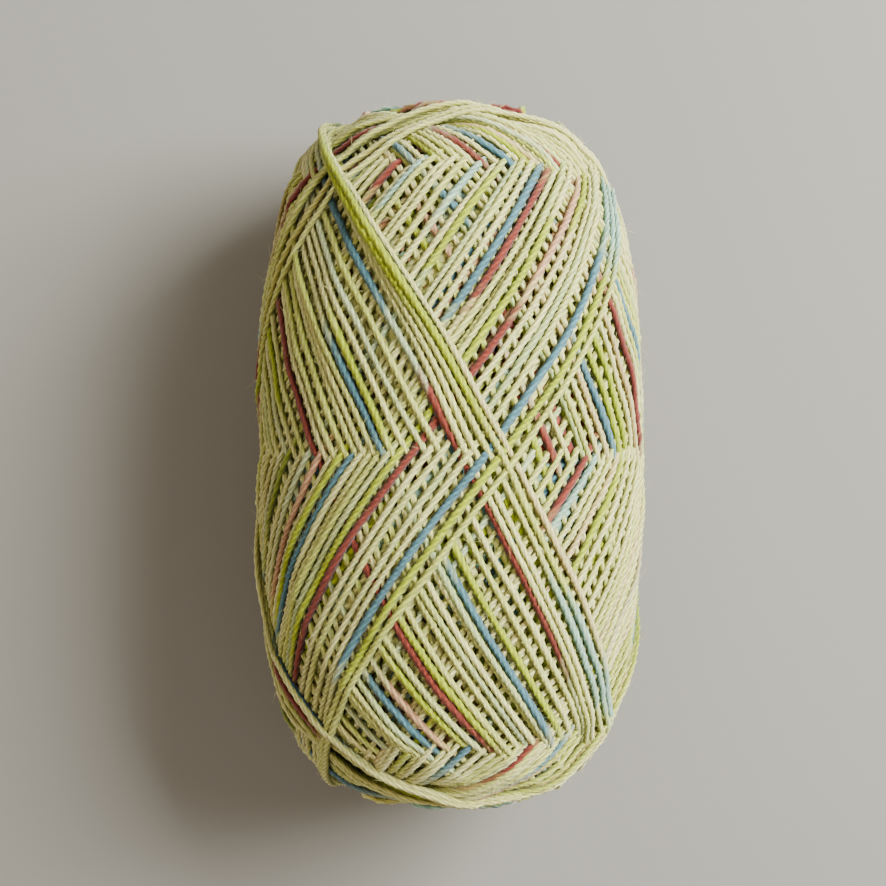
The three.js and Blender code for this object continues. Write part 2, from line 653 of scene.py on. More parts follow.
@dataclass(frozen=True)
class Seat:
    """The flat spot under the skein, where its weight presses the yarn on the table.

    Args:
        outer: the form that the finished skein fills.
        axis_height: height of its axis over the table.
        depth: how far up the yarn is pressed together.
    """

    outer: WoundForm
    axis_height: float
    depth: float = 16.0

    def press(self, points: np.ndarray) -> np.ndarray:
        """Stand points on the table and press the underside flat.

        Where the outer form would dip below the table, the column of yarn over that place is
        lifted by the dip, fading as a smooth step over the press depth.

        Args:
            points: x, y and z rows about the axis.

        Returns:
            Points over the table.
        """
        placed = points + np.array([0.0, 0.0, self.axis_height])
        power = self.outer.squareness
        end = np.clip(1.0 - np.abs(points[:, 1] / self.outer.half_length) ** power, 0.0, 1.0)
        across = points[:, 0] / self.outer.radius_x
        room = np.clip(end ** (2.0 / power) - across**2, 0.0, 1.0)
        underside = self.axis_height - self.outer.radius_z * np.sqrt(room)
        dip = np.maximum(-underside, 0.0)
        fade = 1.0 - ease((placed[:, 2] - underside) / self.depth)
        placed[:, 2] += dip * fade
        placed[:, 2] = np.maximum(placed[:, 2], 0.0)
        return placed


def add_dye_and_shade(mesh: bpy.types.Mesh, colours: np.ndarray) -> None:
    """Give every vertex of a mesh its dye, with the painted shade that the colours carry.

    Args:
        mesh: of a piece of yarn.
        colours: red, green and blue of each vertex in linear light, painted shade included.
    """
    painted = np.ones((len(mesh.vertices), 4), dtype=np.float32)
    painted[:, :3] = colours.reshape(-1, 3)
    # The attribute named dye holds the dye and, on the strands, their painted shade.
    dye = mesh.color_attributes.new("dye", "FLOAT_COLOR", "POINT")
    dye.data.foreach_set("color", painted.ravel())


def add_twist(mesh: bpy.types.Mesh, twist: np.ndarray) -> None:
    """Give every face corner its share of a turn round the strand, and its millimetres along it."""
    layer = mesh.uv_layers.new(name="twist")
    layer.data.foreach_set("uv", twist.astype(np.float32).ravel())


def add_mesh(
    name: str, vertices: np.ndarray, faces: np.ndarray, smooth: bool = True
) -> bpy.types.Object:
    """Make an object at the origin from vertices in millimetres and faces of one size.

    Args:
        name: the piece's name.
        vertices: x, y and z rows.
        faces: rows of three or four vertex numbers.
        smooth: whether the faces are shaded smooth.

    Returns:
        The new object, linked to the scene.
    """
    mesh = bpy.data.meshes.new(name)
    size = faces.shape[1]
    mesh.vertices.add(len(vertices))
    mesh.vertices.foreach_set("co", (vertices * MM).astype(np.float32).ravel())
    mesh.loops.add(faces.size)
    mesh.loops.foreach_set("vertex_index", faces.astype(np.int32).ravel())
    mesh.polygons.add(len(faces))
    mesh.polygons.foreach_set("loop_start", np.arange(len(faces), dtype=np.int32) * size)
    mesh.polygons.foreach_set("use_smooth", np.full(len(faces), smooth))
    mesh.update(calc_edges=True)
    mesh.validate()
    piece = bpy.data.objects.new(name, mesh)
    bpy.context.collection.objects.link(piece)
    return piece


def add_node(
    material: bpy.types.Material, kind: str, links: dict[str, object] | None = None, **settings: object
) -> bpy.types.Node:
    """Add a shader node with its settings, values and links.

    Args:
        material: the material that gets the node.
        kind: the node's type name.
        links: input name or number to an output socket, or to a plain value.
        settings: properties of the node itself.

    Returns:
        The new node.
    """
    tree = material.node_tree
    node = tree.nodes.new(kind)
    for key, value in settings.items():
        setattr(node, key, value)
    for key, value in (links or {}).items():
        socket = node.inputs[key]
        if isinstance(value, bpy.types.NodeSocket):
            tree.links.new(value, socket)
        else:
            socket.default_value = value
    return node


@dataclass(frozen=True)
class PliedWool:
    """Dyed, slackly plied wool: matt and soft, with a faint sheen from the fibre ends at grazing light.

    Its patterns read the twist map: the share of a turn round the strand, and the millimetres along
    it. A 1.1 mm strand is 3.5 mm round, so 11 to the turn are 0.3 mm apart, which is a small lock of
    fibres, and 46 are 0.08 mm, a few times a real fibre, as that is the finest that shows.

    Args:
        name: the material's name.
        plies: strands twisted together.
        roughness: of the matt wool.
        sheen: strength of the fibre sheen.
        groove: how dark the colour is painted between two plies, as painted shade.
        locks: locks of fibre to the turn, and to the millimetre along.
        fibres: the same for single fibres.
        flecks: shade of the darkest and the lightest lock.
        relief: how far a fibre stands out, in metres.
    """

    name: str = "plied_wool"
    plies: int = 4
    roughness: float = 0.88
    sheen: float = 0.25
    groove: float = 0.58
    locks: tuple[float, float, float] = (11.0, 0.8, 1.0)
    fibres: tuple[float, float, float] = (46.0, 0.9, 1.0)
    flecks: tuple[float, float] = (0.52, 1.28)
    relief: float = 0.00014

    def make(self) -> bpy.types.Material:
        """Build the material from the dye and twist attributes that each strand carries; the dye
        attribute holds painted shade too.

        Returns:
            The material.
        """
        material = bpy.data.materials.new(self.name)
        material.use_nodes = True
        material.node_tree.nodes.clear()
        # The dye attribute holds the dye with the painted shade of the strands' flanks.
        dye = add_node(material, "ShaderNodeAttribute", attribute_name="dye")
        twist = add_node(material, "ShaderNodeUVMap", uv_map="twist")
        apart = add_node(material, "ShaderNodeSeparateXYZ", {0: twist.outputs[0]})
        fold = add_node(
            material,
            "ShaderNodeMath",
            {0: apart.outputs[0], 1: 2 * math.pi * self.plies},
            operation="MULTIPLY",
        )
        # Painted shade in the grooves: the colour is darkened between the ply crowns, over the twist
        # map.
        ridge = add_node(material, "ShaderNodeMath", {0: fold.outputs[0]}, operation="COSINE")
        level = add_node(
            material,
            "ShaderNodeMapRange",
            {
                "Value": ridge.outputs[0],
                "From Min": -1.0,
                "From Max": 0.4,
                "To Min": self.groove,
                "To Max": 1.0,
            },
        )
        stretch = add_node(
            material,
            "ShaderNodeMapping",
            {"Vector": twist.outputs[0], "Scale": self.fibres},
        )
        fibre = add_node(
            material,
            "ShaderNodeTexNoise",
            {"Vector": stretch.outputs[0], "Scale": 1.0, "Detail": 3.0, "Roughness": 0.6},
        )
        bundle = add_node(
            material,
            "ShaderNodeMapping",
            {"Vector": twist.outputs[0], "Scale": self.locks},
        )
        mottle = add_node(
            material,
            "ShaderNodeTexNoise",
            {"Vector": bundle.outputs[0], "Scale": 1.0, "Detail": 4.0, "Roughness": 0.75},
        )
        flecks = add_node(
            material,
            "ShaderNodeMapRange",
            {
                "Value": mottle.outputs[0],
                "From Min": 0.3,
                "From Max": 0.7,
                "To Min": self.flecks[0],
                "To Max": self.flecks[1],
            },
        )
        # Painted groove shade times the locks' own random flecks.
        groove_shade_and_flecks = add_node(
            material, "ShaderNodeMath", {0: level.outputs[0], 1: flecks.outputs[0]}, operation="MULTIPLY"
        )
        colour = add_node(
            material, "ShaderNodeVectorMath", {0: dye.outputs["Color"]}, operation="SCALE"
        )
        material.node_tree.links.new(groove_shade_and_flecks.outputs[0], colour.inputs["Scale"])
        bump = add_node(
            material,
            "ShaderNodeBump",
            {"Height": fibre.outputs[0], "Strength": 0.8, "Distance": self.relief},
        )
        surface = add_node(
            material,
            "ShaderNodeBsdfPrincipled",
            {
                "Base Color": colour.outputs[0],
                "Roughness": self.roughness,
                "IOR": 1.54,
                "Specular IOR Level": 0.25,
                "Sheen Weight": self.sheen,
                "Sheen Roughness": 0.5,
                "Normal": bump.outputs[0],
            },
        )
        add_node(material, "ShaderNodeOutputMaterial", {"Surface": surface.outputs[0]})
        return material


@dataclass(frozen=True)
class DeepWool:
    """The wool far down between the strands, quite matt, coloured dim and brownish as painted shade for
    yarn that lies in shadow.

    Args:
        name: the material's name.
        patches: patches of one tint to the metre, 1.4 mm apart, as strands lie there.
    """

    name: str = "deep_wool"
    patches: float = 700.0

    def make(self) -> bpy.types.Material:
        """Build the material.

        Returns:
            The material.
        """
        material = bpy.data.materials.new(self.name)
        material.use_nodes = True
        material.node_tree.nodes.clear()
        place = add_node(material, "ShaderNodeTexCoord")
        noise = add_node(
            material,
            "ShaderNodeTexNoise",
            {"Vector": place.outputs["Object"], "Scale": self.patches, "Detail": 2.0},
        )
        # Painted shade: the buried yarn is coloured a dim brown to olive, as the cream and dyed yarn
        # looks in shadow.
        tint = add_node(material, "ShaderNodeValToRGB", {"Fac": noise.outputs[0]})
        tint.color_ramp.elements[0].color = linear("#8C6424")
        tint.color_ramp.elements[1].color = linear("#C4A44A")
        surface = add_node(
            material,
            "ShaderNodeBsdfPrincipled",
            {"Base Color": tint.outputs[0], "Roughness": 0.95, "Specular IOR Level": 0.2},
        )
        add_node(material, "ShaderNodeOutputMaterial", {"Surface": surface.outputs[0]})
        return material


@dataclass
class Dyeing:
    """The colours along the yarn.

    The lengths that show from above on the passes laid last are charted, as the place of the pass
    and where along the skein each length starts and ends. The rest follow one another at random, and
    undyed lengths carry pale stains, where other dyes ran into them.

    Args:
        winding: the laid yarn.
        fade: millimetres along the skein over which a charted length starts or ends.
        blend: half the same at the random lengths, in passes.
        dyed: shortest and longest random length, in passes.
        undyed: shortest and longest gap between two of them.
        hidden: share of the passes that lie deep, where the gaps are shorter.
        hidden_gap: how much shorter.
        stain_step: spacing of the stains, in passes.
        stain_strength: weakest and strongest stain.
        front_edge: cosine of the azimuth at which the charted side ends.
        front_fade: the cosine over which it gives way to the random lengths.
        far_apart: distance in linear light from the undyed wool to a full dye.
    """

    winding: Winding
    fade: float = 7.0
    blend: float = 0.05
    dyed: tuple[float, float] = (0.55, 0.95)
    undyed: tuple[float, float] = (0.8, 1.8)
    hidden: float = 0.6
    hidden_gap: float = 0.4
    stain_step: float = 0.3
    stain_strength: tuple[float, float] = (0.2, 0.65)
    front_edge: float = 0.02
    front_fade: float = 0.2
    far_apart: float = 0.8

    # Dyes of the stains, with the chance of each at a step.
    STAINS = ((Dye.LIME, 0.42), (Dye.AQUA, 0.1), (Dye.ROSE, 0.08))

    # Dyes of the random lengths, one after another.
    ORDER = (
        Dye.LIME, Dye.BLUE, Dye.LIME, Dye.RUST, Dye.GREEN, Dye.AQUA, Dye.ROSE, Dye.LIME, Dye.RUST,
    )

    # By the repeat, counted back from the last, and the pass in it: each dye, with the millimetres
    # along the axis at which its length starts and ends. The passes and the millimetres are the output
    # of a separate program, which matched lengths traced by eye in the photo to the passes. Most were
    # then widened a little.
    CHART = {
        (0, 0): ((Dye.AQUA, 30, 46),),
        (0, 3): ((Dye.LIME, 6, 53), (Dye.AQUA, -42, -22)),
        (1, 0): ((Dye.LIME, -37, 30), (Dye.AQUA, 31, 48)),
        (1, 1): ((Dye.BLUE, -47, -31),),
        (1, 2): ((Dye.RUST, -52, -45),),
        (1, 3): ((Dye.AQUA, -47, -33),),
        (2, 0): ((Dye.BLUE, -36, 34), (Dye.AQUA, 34, 48)),
        (2, 1): ((Dye.RUST, -46, -26),),
        (2, 3): ((Dye.LIME, 24, 49), (Dye.AQUA, -40, -19)),
        (3, 3): ((Dye.LIME, 34, 49),),
        (5, 1): ((Dye.LIME, -58, -49),),
        (5, 3): ((Dye.BLUE, 24, 48), (Dye.RUST, -34, 13)),
        (6, 0): ((Dye.LIME, 36, 47),),
        (6, 2): ((Dye.ROSE, -58, -52),),
        (7, 0): ((Dye.RUST, -40, 24), (Dye.ROSE, 26, 45)),
        (7, 2): ((Dye.BLUE, -53, -46),),
        (7, 4): ((Dye.RUST, 38, 58),),
        (7, 5): ((Dye.RUST, 54, 58),),
        (8, 0): ((Dye.LIME, -34, 38),),
        (8, 3): ((Dye.LIME, -46, -12),),
        (9, 1): ((Dye.BLUE, -57, -47),),
        (9, 3): ((Dye.LIME, 2, 23), (Dye.BLUE, -45, -16)),
        (10, 3): ((Dye.BLUE, 0, 20),),
        (10, 5): ((Dye.RUST, 44, 55),),
        (11, 2): ((Dye.LIME, -39, -25),),
        (12, 0): ((Dye.RUST, 23, 46),),
        (12, 2): ((Dye.RUST, -54, -45),),
        (13, 0): ((Dye.BLUE, 21, 49), (Dye.BLUE, -30, 2)),
        (14, 0): ((Dye.LIME, -46, 4),),
        (14, 5): ((Dye.BLUE, 11, 34),),
        (15, 1): ((Dye.RUST, -59, -53),),
        (15, 5): ((Dye.LIME, 45, 56),),
        (16, 0): ((Dye.ROSE, -25, 3),),
        (16, 3): ((Dye.LIME, -46, -24),),
        (17, 0): ((Dye.LIME, 28, 46),),
        (17, 3): ((Dye.RUST, -48, 33),),
        (17, 5): ((Dye.BLUE, 43, 55), (Dye.RUST, 1, 30)),
        (18, 2): ((Dye.BLUE, -53, -43),),
        (19, 0): ((Dye.GREEN, -13, 4), (Dye.AQUA, 38, 49)),
        (19, 3): ((Dye.LIME, 8, 28), (Dye.LIME, -46, -31)),
        (19, 5): ((Dye.RUST, 46, 54),),
        (20, 2): ((Dye.LIME, -21, -2),),
        (20, 3): ((Dye.ROSE, -47, -35),),
        (20, 5): ((Dye.LIME, 0, 24),),
        (21, 3): ((Dye.BLUE, -49, -34),),
        (21, 5): ((Dye.LIME, -5, 20),),
        (22, 5): ((Dye.BLUE, 0, 19),),
        (23, 2): ((Dye.LIME, -51, -43),),
        (23, 5): ((Dye.LIME, 48, 54),),
        (24, 0): ((Dye.AQUA, 39, 51),),
        (24, 2): ((Dye.AQUA, -14, 2),),
        (25, 2): ((Dye.RUST, -13, 3),),
        (25, 5): ((Dye.BLUE, 48, 54), (Dye.BLUE, 37, 45)),
        (26, 0): ((Dye.RUST, 41, 52),),
        (28, 5): ((Dye.ROSE, 32, 42), (Dye.RUST, -2, 8)),
        (29, 0): ((Dye.LIME, 45, 52),),
        (29, 5): ((Dye.LIME, 31, 41), (Dye.LIME, -5, 5)),
        (30, 0): ((Dye.BLUE, 46, 52),),
    }

    def __post_init__(self) -> None:
        """Lay out the random dye stops and the stains over the whole yarn, in passes."""
        random = self.winding.random
        count = len(self.winding.passes)
        cream = Dye.CREAM.light
        dyes = itertools.cycle(self.ORDER)
        place, places, hues = 0.0, [], []
        while place < count:
            end = place + random.uniform(*self.dyed)
            hue = next(dyes).light
            places += [place, place + 2 * self.blend, end, end + 2 * self.blend]
            hues += [cream, hue, hue, cream]
            shorter = self.hidden_gap if place < self.hidden * count else 1.0
            place = end + random.uniform(*self.undyed) * shorter
        self.places = np.array(places)
        self.hues = np.array(hues)
        self.stain_places = np.arange(0, count, self.stain_step)
        chances = np.array([[chance] for _, chance in self.STAINS])
        tinted = random.random((len(self.STAINS), len(self.stain_places))) < chances
        self.stains = tinted * random.uniform(*self.stain_strength, tinted.shape)

    def colours(self, number: int) -> np.ndarray:
        """Find the colour at every station of a pass.

        A dye is mixed in by its share: the colour so far, plus the share of what it lacks of the dye.

        Args:
            number: of the pass, from the first one laid.

        Returns:
            Red, green and blue rows.
        """
        path = self.winding.passes[number]
        share = number + np.linspace(0.0, 1.0, len(path.angle))
        chance = np.stack(
            [np.interp(share, self.places, channel) for channel in self.hues.T], axis=1
        )
        repeat, turn = divmod(number, self.winding.PASSES_A_REPEAT)
        back = (len(self.winding.passes) - 1) // self.winding.PASSES_A_REPEAT - repeat
        if back >= len(self.winding.CHART):
            return chance
        shown = np.tile(Dye.CREAM.light, (len(share), 1))
        for (dye, _), stain in zip(self.STAINS, self.stains):
            amount = np.interp(share, self.stain_places, stain)[:, None]
            shown += (dye.light - shown) * amount
        along = self.winding.table.read(self.winding.table.along, path.angle)
        for dye, start, end in self.CHART.get((back, turn), ()):
            inside = np.minimum(along - start, end - along) / self.fade + 0.5
            shown += (dye.light - shown) * ease(inside)[:, None]
        front = ease((np.cos(path.azimuth) - self.front_edge) / self.front_fade)[:, None]
        return chance + (shown - chance) * front

    def stretch(self, first: int, last: int) -> np.ndarray:
        """Return the colour at every station of passes first to last, last not included."""
        return np.concatenate([self.colours(number)[:-1] for number in range(first, last)])

    def depth_of(self, colours: np.ndarray) -> np.ndarray:
        """Return how strongly each colour is dyed, from 0 at the undyed cream to 1."""
        apart = np.linalg.norm(colours - Dye.CREAM.light, axis=1)
        return ease(apart / self.far_apart)


@dataclass
class StrandMesh:
    """Turns a run of passes into one twisted tube.

    The section is a star of rounded points, one for each ply: even corners stand on the plies and
    odd corners between them. It turns with the length, so the mesh's own columns follow the plies.

    Args:
        winding: the laid yarn.
        seat: the flat spot that it rests on.
        dyeing: its colours.
        sides: corners of the section.
        ring_step: spacing of the rings along the yarn.
        groove: depth between two plies, as a share of the radius.
        bloom: how much thicker fully dyed wool is, as a share.
        uneven: spread of the corners' random reach, as a share.
        wide: width on the belly, over the strand's own.
        wide_at_ends: the same at the ends.
        high: height over the strand's own.
        shade_deepening: how much deeper in colour the painted shade makes the flanks.
        dim: how much darker the painted shade makes the flanks.
    """

    winding: Winding
    seat: Seat
    dyeing: Dyeing
    sides: int = 8
    ring_step: float = 0.9
    groove: float = 0.13
    bloom: float = 0.2
    uneven: float = 0.045
    wide: float = 1.08
    wide_at_ends: float = 1.08
    high: float = 0.9
    shade_deepening: float = 1.2
    dim: float = 0.68

    # How far a corner on a ply stands out, over the depth of a groove.
    CREST = 0.55

    # Waves along the yarn as size and pitch: its twist in turns, and its thickness as a share.
    SLACK = ((0.12, 4.1), (0.16, 11.3))
    SWELL = ((0.05, 2.3), (0.06, 5.9), (0.05, 23.0))

    # Cosine of the profile angle at which the belly's width starts, and over which it is reached.
    BELLY_EDGE = 0.25
    BELLY_FADE = 0.5

    # How many rings later each ply takes its colour, and how fast the painted shade of the flank sets in
    # with the turn.
    PLY_LAGS = (0, 2, -1, 3)
    FLANK = 0.8

    def build(self, name: str, first: int, last: int) -> bpy.types.Object:
        """Build the tube of passes first to last, last not included.

        A vertex is the middle line, plus its height along the upward direction and its width along
        the one aside. None lies under the table.

        Args:
            name: the piece's name.
            first: number of the first pass.
            last: number after the last pass.

        Returns:
            The new object.
        """
        step = max(1, round(self.ring_step / self.winding.step))
        angle, azimuth, lift, yarn = (part[::step] for part in self.winding.stretch(first, last))
        colours = self.dyeing.stretch(first, last)[::step]
        middle, upward, aside = self.middle_line(angle, azimuth, lift)
        turn, height, width = self.section(angle, yarn, colours)
        vertices = (
            middle[:, None, :]
            + height[:, :, None] * upward[:, None, :]
            + width[:, :, None] * aside[:, None, :]
        )
        vertices[:, :, 2] = np.maximum(vertices[:, :, 2], 0.0)
        corner = np.arange(self.sides)
        ring = np.arange(len(yarn) - 1)[:, None] * self.sides
        here = ring + corner[None, :]
        beside = ring + (corner[None, :] + 1) % self.sides
        faces = np.stack([here, beside, beside + self.sides, here + self.sides], axis=2)
        piece = add_mesh(name, vertices.reshape(-1, 3), faces.reshape(-1, 4))
        # The dye attribute gets the colours with the painted shade of the flanks.
        add_dye_and_shade(piece.data, self.shaded(colours, turn))
        add_twist(piece.data, self.unrolled(yarn))
        return piece

    def middle_line(
        self, angle: np.ndarray, azimuth: np.ndarray, lift: np.ndarray
    ) -> tuple[np.ndarray, np.ndarray, np.ndarray]:
        """Place the middle of every ring, with two directions square to the yarn.

        Upward is the form's normal less its part along the tangent, and aside is the tangent crossed
        with upward.

        Args:
            angle: profile angle of each ring.
            azimuth: angle round the axis of each ring.
            lift: height of each ring over the form.

        Returns:
            The middles, the upward and the sideways directions.
        """
        middle = self.seat.press(self.winding.table.point(angle, azimuth, lift))
        tangent = unit(np.gradient(middle, axis=0))
        upward = self.winding.table.normal(angle, azimuth)
        upward = unit(upward - tangent * np.sum(upward * tangent, axis=1, keepdims=True))
        return middle, upward, np.cross(tangent, upward)

    def section(
        self, angle: np.ndarray, yarn: np.ndarray, colours: np.ndarray
    ) -> tuple[np.ndarray, np.ndarray, np.ndarray]:
        """Work out the section at every ring.

        A corner's turn is its place round the section and the length over the lay, with slow waves
        for slack. Its reach is the radius times the star, the swell of the yarn and a random part.
        Height and width are the reach times the cosine and the sine of the turn, each stretched.

        Args:
            angle: profile angle of each ring.
            yarn: length of yarn up to each ring.
            colours: red, green and blue of each ring.

        Returns:
            Turn from the outward side, height and width of every corner of every ring.
        """
        corner = np.arange(self.sides)
        star = 1.0 + self.groove * np.where(corner % 2 == 0, self.CREST, -1.0)
        twist = yarn / self.winding.yarn.lay + ripple(yarn, self.SLACK)
        turn = 2 * math.pi * (corner[None, :] / self.sides + twist[:, None])
        swell = 1.0 + ripple(yarn, self.SWELL) + self.bloom * self.dyeing.depth_of(colours)
        loose = 1.0 + self.uneven * self.winding.random.standard_normal((len(yarn), self.sides))
        reach = self.winding.yarn.radius * swell[:, None] * star[None, :] * loose
        belly = ease((np.cos(angle) - self.BELLY_EDGE) / self.BELLY_FADE)
        stretch = self.wide_at_ends + (self.wide - self.wide_at_ends) * belly
        return turn, reach * np.cos(turn) * self.high, reach * np.sin(turn) * stretch[:, None]

    def shaded(self, colours: np.ndarray, turn: np.ndarray) -> np.ndarray:
        """Shade the dye round the strand.

        Each ply takes the dye a little before or after its neighbours. Down the flanks and the underside
        of the strand the colour is raised to a power and dimmed: painted shade, for the light that comes
        through other dyed wool.

        Args:
            colours: red, green and blue of each ring.
            turn: of every corner of every ring from the outward side.

        Returns:
            Red, green and blue of every corner of every ring.
        """
        flank = np.minimum(self.FLANK - self.FLANK * np.cos(turn), 1.0)[:, :, None]
        ply = np.arange(self.sides) * self.winding.yarn.plies // self.sides
        dyed = np.stack([np.roll(colours, self.PLY_LAGS[i], axis=0) for i in ply], axis=1)
        # Painted shade: darker and deeper in colour down the flanks and underside, whatever the light.
        return dyed ** (1.0 + self.shade_deepening * flank) * (1.0 - self.dim * flank)

    def unrolled(self, yarn: np.ndarray) -> np.ndarray:
        """Map every face corner to its share of a turn round the strand and its length along it.

        Args:
            yarn: length of yarn up to each ring.

        Returns:
            The pair for each face corner, by ring, side and corner of the face.
        """
        near = np.arange(self.sides) / self.sides
        far = near + 1 / self.sides
        rings = (len(yarn) - 1, self.sides, 4)
        around = np.broadcast_to(np.stack([near, far, far, near], axis=1), rings)
        along = np.stack([yarn[:-1], yarn[:-1], yarn[1:], yarn[1:]], axis=1)
        return np.stack([around, np.broadcast_to(along[:, None], rings)], axis=3)


@dataclass
class FuzzMesh:
    """The loose fibres that stand off the strands, each a thin three-sided tube closed at both tips.

    Args:
        winding: the laid yarn.
        seat: the flat spot that it rests on.
        dyeing: its colours.
        count: of the fibres, before those near the table are left out.
        radius: of a fibre, which is a little coarser than a real one, so that it shows.
        lowest: height over the table under which none stands.
        spread: of the starts round the strand from its outward side, in radians.
        root: distance of the starts from the strand's middle, as a share of its radius.
    """

    winding: Winding
    seat: Seat
    dyeing: Dyeing
    count: int = 7600
    radius: float = 0.017
    lowest: float = 6.0
    spread: float = 0.8
    root: float = 0.8

    # Shape and scale of the lengths, least and most rise, and spread of the bend outwards and aside.
    LENGTHS = (4.0, 0.3)
    RISE = (0.15, 0.6)
    BEND = (0.3, 0.55)

    # Where the tips and the two rings stand, as shares of the length, and the lean of their corners.
    STATIONS = (0.0, 0.3, 0.65, 1.0)
    LEAN = 0.3

    # Faces of one fibre: corners 0 to 2 are one ring, 3 to 5 the next, 6 and 7 the tips.
    TUBE = (
        (0, 1, 4), (0, 4, 3), (1, 2, 5), (1, 5, 4), (2, 0, 3), (2, 3, 5),
        (1, 0, 6), (2, 1, 6), (0, 2, 6), (3, 4, 7), (4, 5, 7), (5, 3, 7),
    )
    RING = 3
    POINTS = 8

    def build(self, first: int, last: int) -> bpy.types.Object:
        """Build the fibres on passes first to last, last not included.

        Args:
            first: number of the first pass.
            last: number after the last pass.

        Returns:
            The new object.
        """
        table = self.winding.table
        angle, azimuth, lift, _ = self.winding.stretch(first, last)
        pick = np.sort(self.winding.random.integers(1, len(angle) - 1, self.count))
        middle = self.seat.press(table.point(angle, azimuth, lift))
        along = unit(middle[pick + 1] - middle[pick - 1])
        outward = table.normal(angle[pick], azimuth[pick])
        line = self.lines(middle[pick], along, outward)
        standing = line[:, 0, 2] > self.lowest
        points = self.tubes(line, outward + self.LEAN * along)[standing]
        faces = np.array(self.TUBE)[None] + self.POINTS * np.arange(len(points))[:, None, None]
        piece = add_mesh("loose_fibres", points.reshape(-1, 3), faces.reshape(-1, 3))
        colours = self.dyeing.stretch(first, last)[pick][standing]
        add_dye_and_shade(piece.data, np.repeat(colours, self.POINTS, axis=0))
        add_twist(piece.data, np.zeros((faces.size, 2)))
        return piece

    def lines(self, middle: np.ndarray, along: np.ndarray, outward: np.ndarray) -> np.ndarray:
        """Draw the middle lines of the fibres.

        A fibre leaves its strand near the surface and bends over: its line is the start, plus the
        share of its length along a first direction, plus that share squared along a second.

        Args:
            middle: of the strand at each fibre.
            along: direction of the strand there.
            outward: direction out of the skein there.

        Returns:
            Four points for each fibre.
        """
        random = self.winding.random
        column = (self.count, 1)
        aside = np.cross(along, outward)
        round_strand = random.normal(0.0, self.spread, column)
        off = outward * np.cos(round_strand) + aside * np.sin(round_strand)
        start = middle + off * self.winding.yarn.radius * self.root
        length = random.gamma(*self.LENGTHS, column)
        rise = off * random.uniform(*self.RISE, column)
        rise += along * random.choice([-1.0, 1.0], column)
        bend = off * random.normal(0.0, self.BEND[0], column)
        bend += aside * random.normal(0.0, self.BEND[1], column)
        share = np.array(self.STATIONS)[None, :, None]
        return start[:, None] + length[:, None] * (rise[:, None] * share + bend[:, None] * share**2)

    def tubes(self, line: np.ndarray, side: np.ndarray) -> np.ndarray:
        """Put a ring of three corners round each of the two middle points of every line.

        Args:
            line: four points for each fibre.
            side: a direction at each fibre that its rings are turned by.

        Returns:
            The six corners and the two tips of each fibre.
        """
        heading = unit(np.gradient(line, axis=1))
        across = unit(np.cross(heading, side[:, None]))
        above = np.cross(across, heading)
        turn = np.arange(self.RING) * 2 * math.pi / self.RING
        inner = slice(1, -1)
        rings = line[:, inner, None] + self.radius * (
            across[:, inner, None] * np.cos(turn)[:, None]
            + above[:, inner, None] * np.sin(turn)[:, None]
        )
        return np.concatenate([rings.reshape(self.count, -1, 3), line[:, [0, -1]]], axis=1)


@dataclass
class CoreMesh:
    """The wound yarn under the laid strands, as one closed surface.

    Args:
        winding: the laid yarn.
        seat: the flat spot that it rests on.
        sink: how far the surface lies under the first strands laid, less than zero when over them.
        hole_mouth: radius of the small hole in each end.
        hole_depth: how deep it is.
        rings: of vertices along the skein.
        around: vertices to a ring.
    """

    winding: Winding
    seat: Seat
    sink: float = -0.3
    hole_mouth: float = 5.0
    hole_depth: float = 9.0
    rings: int = 90
    around: int = 120

    def build(self) -> bpy.types.Object:
        """Build the surface: rings of the core profile round the axis, closed by a point at each end.

        A smooth step sinks it further near the axis, where the yarn's inner end would be drawn out.

        Returns:
            The new object.
        """
        rings, around = self.rings, self.around
        angle = np.linspace(-math.pi / 2, math.pi / 2, rings + 2)
        turn = np.linspace(0.0, 2 * math.pi, around, endpoint=False)
        grid_angle, grid_turn = (g.ravel() for g in np.meshgrid(angle[1:-1], turn, indexing="ij"))
        depth = self.sink + np.interp(angle, self.winding.row_angle, self.winding.depth)
        radius = self.winding.table.read(self.winding.table.radius, angle)
        depth += self.hole_depth * ease(1.0 - radius / self.hole_mouth)
        body = self.winding.table.point(grid_angle, grid_turn, -np.repeat(depth[1:-1], around))
        tips = self.winding.table.point(angle[[0, -1]], np.zeros(2), -depth[[0, -1]])
        points = self.seat.press(np.concatenate([body, tips]))
        row = np.arange(rings - 1)[:, None] * around
        column = np.arange(around)[None, :]
        nearby = (column + 1) % around
        quads = np.stack(
            [row + column, row + around + column, row + around + nearby, row + nearby], axis=2
        ).reshape(-1, 4)
        first, last = len(body), len(body) + 1
        edge = (rings - 1) * around
        ends = np.concatenate(
            [
                np.stack([np.full(around, first), column[0], nearby[0]], axis=1),
                np.stack([np.full(around, last), edge + nearby[0], edge + column[0]], axis=1),
            ]
        )
        triangles = np.concatenate([quads[:, [0, 1, 2]], quads[:, [0, 2, 3]], ends])
        return add_mesh("core_yarn", points, triangles)


